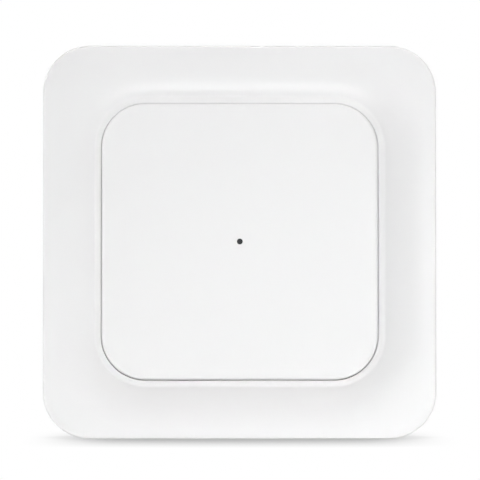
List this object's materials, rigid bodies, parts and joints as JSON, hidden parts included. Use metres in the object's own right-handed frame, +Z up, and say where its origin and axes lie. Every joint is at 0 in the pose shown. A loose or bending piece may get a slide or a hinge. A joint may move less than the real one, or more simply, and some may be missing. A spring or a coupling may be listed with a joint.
{
  "type": "wireless wall switch",
  "caption": "Square wireless wall switch: a white frame with a coved border round a centre-pivoted rocker key with a pinhole light window, on a wall-box bracket.",
  "frame": {"origin": "on the wall plane, midway between the wall-box screw slots, behind the middle of the key", "axes": "+Z up, +X to the right as seen from the front, face towards -Y, wall at y = 0 with its normal along +Y"},
  "size_m": [0.08, 0.015, 0.08],
  "materials": {
    "white_gloss_shell": "high-gloss moulded ABS, white",
    "bracket_plastic": "fine-textured moulded polycarbonate, light grey",
    "module_plastic": "fine-textured moulded polycarbonate, off white",
    "smoked_window": "polished smoked polycarbonate",
    "soft_pad": "soft silicone, grey",
    "board_laminate": "glass-epoxy laminate under green solder mask",
    "switch_plastic": "moulded nylon, black",
    "holder_plastic": "moulded nylon, dark grey",
    "chip_resin": "moulded epoxy, black",
    "ceramic_tan": "fired ceramic, tan",
    "ceramic_white": "glazed ceramic, white",
    "tantalum_yellow": "moulded epoxy, amber",
    "led_resin": "clear cast resin",
    "tinned_steel": "tinned sheet steel",
    "cell_steel": "nickel-plated steel, bright",
    "spring_brass": "gold-flashed spring brass",
    "screw_steel": "zinc-plated steel"
  },
  "bodies": {
    "base": {"cover_frame": "white_gloss_shell", "wall_bracket": "bracket_plastic", "module_housing": "module_plastic", "module_cover": "module_plastic", "module_screws": "screw_steel", "circuit_board": "board_laminate", "status_led": "led_resin", "battery_holder": "holder_plastic", "coin_cell": "cell_steel", "battery_contact_positive": "spring_brass", "battery_contact_negative": "spring_brass", "chip_antenna": "ceramic_white", "radio_board": "board_laminate", "radio_shield_can": "tinned_steel", "controller_chip": "chip_resin", "crystal": "tinned_steel", "buffer_capacitor": "tantalum_yellow", "chip_capacitors": "ceramic_tan", "chip_resistors": "chip_resin", "switch_terminals": "tinned_steel", "switch_cover_plates": "tinned_steel", "switch_domes": "tinned_steel", "tact_switch_top_left": "switch_plastic", "tact_switch_top_right": "switch_plastic", "tact_switch_bottom_left": "switch_plastic", "tact_switch_bottom_right": "switch_plastic"},
    "key": {"rocker_key": "white_gloss_shell", "key_pads": "soft_pad", "light_guide": "smoked_window"},
    "button_top_left": {"plunger_top_left": "switch_plastic"},
    "button_top_right": {"plunger_top_right": "switch_plastic"},
    "button_bottom_left": {"plunger_bottom_left": "switch_plastic"},
    "button_bottom_right": {"plunger_bottom_right": "switch_plastic"}
  },
  "joints": [
    {"name": "key_rocker", "type": "hinge", "parent": "base", "child": "key", "pos_m": [0, -0.0112, 0], "axis": [1, 0, 0], "range_deg": [-1.8, 1.8], "stiffness_Nm_per_rad": 1.5, "deforming": ["key_pads"]},
    {"name": "press_top_left", "type": "slide", "parent": "base", "child": "button_top_left", "axis": [0, 1, 0], "range_m": [0, 0.00025], "stiffness_N_per_m": 800, "springref_m": -0.0015, "deforming": ["switch_domes"]},
    {"name": "press_top_right", "type": "slide", "parent": "base", "child": "button_top_right", "axis": [0, 1, 0], "range_m": [0, 0.00025], "stiffness_N_per_m": 800, "springref_m": -0.0015, "deforming": ["switch_domes"]},
    {"name": "press_bottom_left", "type": "slide", "parent": "base", "child": "button_bottom_left", "axis": [0, 1, 0], "range_m": [0, 0.00025], "stiffness_N_per_m": 800, "springref_m": -0.0015, "deforming": ["switch_domes"]},
    {"name": "press_bottom_right", "type": "slide", "parent": "base", "child": "button_bottom_right", "axis": [0, 1, 0], "range_m": [0, 0.00025], "stiffness_N_per_m": 800, "springref_m": -0.0015, "deforming": ["switch_domes"]}
  ],
  "couplings": [
    {"joint": "press_top_right", "follows": "press_top_left", "ratio": 1},
    {"joint": "press_bottom_right", "follows": "press_bottom_left", "ratio": 1}
  ]
}
